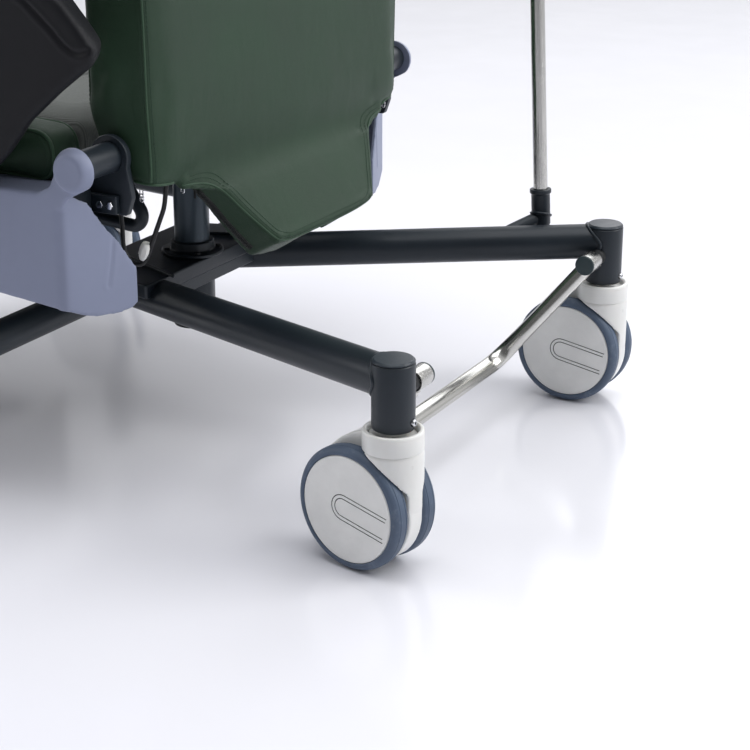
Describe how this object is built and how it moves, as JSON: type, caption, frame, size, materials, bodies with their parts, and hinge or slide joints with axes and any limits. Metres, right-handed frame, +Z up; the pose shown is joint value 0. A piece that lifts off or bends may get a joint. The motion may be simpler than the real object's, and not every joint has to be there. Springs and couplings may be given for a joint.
{
  "type": "reclining treatment chair",
  "caption": "Reclining patient treatment chair on a welded steel castor base, with a lifting seat, powered back and legrest, foot plate, armrests, brake bar and drip pole.",
  "frame": {"origin": "on the floor, at the centre of the chair footprint box", "axes": "+Z up, +X to the sitter's left (the side away from the drip pole), +Y to the rear of the chair"},
  "size_m": [0.8644, 1.1269, 1.5001],
  "materials": {
    "frame_paint": "dark slate powder coat, fine orange peel, semi-gloss",
    "column_paint": "blue-grey satin paint on the sliding column",
    "zinc_screw": "bright zinc plated socket set screw",
    "steel_stem": "turned steel",
    "stainless": "polished stainless, fine drawn lines",
    "black_plastic": "fine-textured black moulding",
    "vinyl_green": "dark green upholstery vinyl with a fine leather grain, piped and stitched seams",
    "seat_textile_grey": "grey textured seat fabric with green vinyl bolsters",
    "cover_plastic": "pale blue-grey vacuum formed cover, satin",
    "castor_plastic": "off-white glossy moulding",
    "wheel_disc": "light grey wheel disc with moulded grooves",
    "tread": "blue-grey non-marking tread with fine edge lines",
    "armrest_black": "near-black integral-skin foam, fine grain",
    "actuator_grey": "dark grey actuator body"
  },
  "bodies": {
    "base": {"base_frame": "frame_paint", "lift_column_outer": "frame_paint", "pole_tube_lower": "stainless", "pole_clamp": "black_plastic", "socket_cap_rl": "frame_paint", "socket_cap_rr": "frame_paint", "socket_cap_fl": "frame_paint", "socket_cap_fr": "frame_paint", "castor_stem_rl": "steel_stem", "castor_stem_rr": "steel_stem", "castor_stem_fl": "steel_stem", "castor_stem_fr": "steel_stem", "set_screw_rl": "zinc_screw", "set_screw_rr": "zinc_screw", "set_screw_fl": "zinc_screw", "set_screw_fr": "zinc_screw"},
    "brake_pedal": {"pedal_bar": "stainless", "pedal_cap_left": "black_plastic", "pedal_cap_right": "black_plastic"},
    "seat_lift": {"lift_column_inner": "column_paint", "seat_frame": "frame_paint", "seat_cushion": "seat_textile_grey", "side_cover_left": "cover_plastic", "side_cover_right": "cover_plastic", "control_box": "black_plastic", "control_cable": "black_plastic"},
    "backrest": {"back_frame": "frame_paint", "back_cushion": "vinyl_green", "back_rear_cover": "vinyl_green", "back_skirt": "vinyl_green", "head_pillow": "vinyl_green", "push_handle": "stainless"},
    "back_actuator": {"back_actuator_tube": "actuator_grey"},
    "back_actuator_rod": {"back_actuator_rod": "steel_stem"},
    "legrest": {"legrest_frame": "frame_paint", "legrest_cushion": "vinyl_green"},
    "legrest_actuator": {"legrest_actuator_tube": "actuator_grey"},
    "legrest_actuator_rod": {"legrest_actuator_rod": "steel_stem"},
    "footrest": {"footrest_slide": "stainless"},
    "foot_plate": {"foot_plate": "black_plastic"},
    "armrest_left": {"armrest_left": "armrest_black", "armrest_post_left": "stainless"},
    "armrest_right": {"armrest_right": "armrest_black", "armrest_post_right": "stainless"},
    "drip_pole": {"pole_tube_upper": "stainless", "pole_hook_head": "stainless"},
    "pole_knob": {"pole_clamp_knob": "black_plastic"},
    "castor_rl": {"castor_housing_rl": "castor_plastic"},
    "wheel_rl_a": {"castor_wheel_rl_a": "tread"},
    "wheel_rl_b": {"castor_wheel_rl_b": "tread"},
    "castor_rr": {"castor_housing_rr": "castor_plastic"},
    "wheel_rr_a": {"castor_wheel_rr_a": "tread"},
    "wheel_rr_b": {"castor_wheel_rr_b": "tread"},
    "castor_fl": {"castor_housing_fl": "castor_plastic"},
    "wheel_fl_a": {"castor_wheel_fl_a": "tread"},
    "wheel_fl_b": {"castor_wheel_fl_b": "tread"},
    "castor_fr": {"castor_housing_fr": "castor_plastic"},
    "wheel_fr_a": {"castor_wheel_fr_a": "tread"},
    "wheel_fr_b": {"castor_wheel_fr_b": "tread"}
  },
  "joints": [
    {"name": "armrest_left_height", "type": "slide", "parent": "seat_lift", "child": "armrest_left", "axis": [0, 0, 1], "range_m": [0, 0.06]},
    {"name": "armrest_right_height", "type": "slide", "parent": "seat_lift", "child": "armrest_right", "axis": [0, 0, 1], "range_m": [0, 0.06]},
    {"name": "back_recline", "type": "hinge", "parent": "seat_lift", "child": "backrest", "pos_m": [0, 0.1526, 0.443], "axis": [-1, 0, 0], "range_deg": [0, 60]},
    {"name": "brake_pedal_tilt", "type": "hinge", "parent": "base", "child": "brake_pedal", "pos_m": [0, 0.5226, 0.2155], "axis": [1, 0, 0], "range_deg": [-20, 20]},
    {"name": "column_lift", "type": "slide", "parent": "base", "child": "seat_lift", "axis": [0, 0, 1], "range_m": [0, 0.09]},
    {"name": "drip_pole_extend", "type": "slide", "parent": "base", "child": "drip_pole", "axis": [0, -0.0506, 0.9987], "range_m": [0, 0.45]},
    {"name": "footrest_extend", "type": "slide", "parent": "legrest", "child": "footrest", "axis": [0, 0, -1], "range_m": [0, 0.1]},
    {"name": "foot_plate_tilt", "type": "hinge", "parent": "footrest", "child": "foot_plate", "pos_m": [0, -0.3604, 0.13], "axis": [-1, 0, 0], "range_deg": [-25, 5]},
    {"name": "legrest_raise", "type": "hinge", "parent": "seat_lift", "child": "legrest", "pos_m": [0, -0.3714, 0.398], "axis": [-1, 0, 0], "range_deg": [0, 85]},
    {"name": "back_actuator_tilt", "type": "hinge", "parent": "seat_lift", "child": "back_actuator", "pos_m": [-0.075, -0.1984, 0.33], "axis": [1, 0, 0], "range_deg": [0, 7.5]},
    {"name": "back_rod_slide", "type": "slide", "parent": "back_actuator", "child": "back_actuator_rod", "axis": [0, -0.9998, -0.0213], "range_m": [0, 0.102]},
    {"name": "legrest_actuator_tilt", "type": "hinge", "parent": "seat_lift", "child": "legrest_actuator", "pos_m": [0.075, -0.0784, 0.345], "axis": [-1, 0, 0], "range_deg": [0, 11.5]},
    {"name": "legrest_rod_slide", "type": "slide", "parent": "legrest_actuator", "child": "legrest_actuator_rod", "axis": [0, -0.9923, -0.1236], "range_m": [0, 0.105]},
    {"name": "pole_knob_turn", "type": "hinge", "parent": "base", "child": "pole_knob", "pos_m": [-0.327, 0.3961, 1.158], "axis": [0, 0.9987, 0.0506], "range_deg": [0, 180]},
    {"name": "swivel_rl", "type": "hinge", "parent": "base", "child": "castor_rl", "pos_m": [0.3138, 0.5216, 0.12], "axis": [0, 0, 1], "continuous": true},
    {"name": "wheel_rl_a_spin", "type": "hinge", "parent": "castor_rl", "child": "wheel_rl_a", "pos_m": [0.30599, 0.4839, 0.075], "axis": [0.9792, -0.2028, 0], "continuous": true},
    {"name": "wheel_rl_b_spin", "type": "hinge", "parent": "castor_rl", "child": "wheel_rl_b", "pos_m": [0.30599, 0.4839, 0.075], "axis": [0.9792, -0.2028, 0], "continuous": true},
    {"name": "swivel_rr", "type": "hinge", "parent": "base", "child": "castor_rr", "pos_m": [-0.3138, 0.5216, 0.12], "axis": [0, 0, 1], "continuous": true},
    {"name": "wheel_rr_a_spin", "type": "hinge", "parent": "castor_rr", "child": "wheel_rr_a", "pos_m": [-0.31367, 0.4831, 0.075], "axis": [1, 0.0035, 0], "continuous": true},
    {"name": "wheel_rr_b_spin", "type": "hinge", "parent": "castor_rr", "child": "wheel_rr_b", "pos_m": [-0.31367, 0.4831, 0.075], "axis": [1, 0.0035, 0], "continuous": true},
    {"name": "swivel_fl", "type": "hinge", "parent": "base", "child": "castor_fl", "pos_m": [0.395, -0.3834, 0.12], "axis": [0, 0, 1], "continuous": true},
    {"name": "wheel_fl_a_spin", "type": "hinge", "parent": "castor_fl", "child": "wheel_fl_a", "pos_m": [0.395, -0.4219, 0.075], "axis": [1, 0, 0], "continuous": true},
    {"name": "wheel_fl_b_spin", "type": "hinge", "parent": "castor_fl", "child": "wheel_fl_b", "pos_m": [0.395, -0.4219, 0.075], "axis": [1, 0, 0], "continuous": true},
    {"name": "swivel_fr", "type": "hinge", "parent": "base", "child": "castor_fr", "pos_m": [-0.395, -0.3834, 0.12], "axis": [0, 0, 1], "continuous": true},
    {"name": "wheel_fr_a_spin", "type": "hinge", "parent": "castor_fr", "child": "wheel_fr_a", "pos_m": [-0.395, -0.4219, 0.075], "axis": [1, 0, 0], "continuous": true},
    {"name": "wheel_fr_b_spin", "type": "hinge", "parent": "castor_fr", "child": "wheel_fr_b", "pos_m": [-0.395, -0.4219, 0.075], "axis": [1, 0, 0], "continuous": true}
  ],
  "couplings": [
    {"joint": "back_actuator_tilt", "follows": "back_recline", "ratio": 0.115},
    {"joint": "back_rod_slide", "follows": "back_recline", "m_per_rad": 0.0962},
    {"joint": "legrest_actuator_tilt", "follows": "legrest_raise", "ratio": 0.129},
    {"joint": "legrest_rod_slide", "follows": "legrest_raise", "m_per_rad": 0.0699}
  ]
}
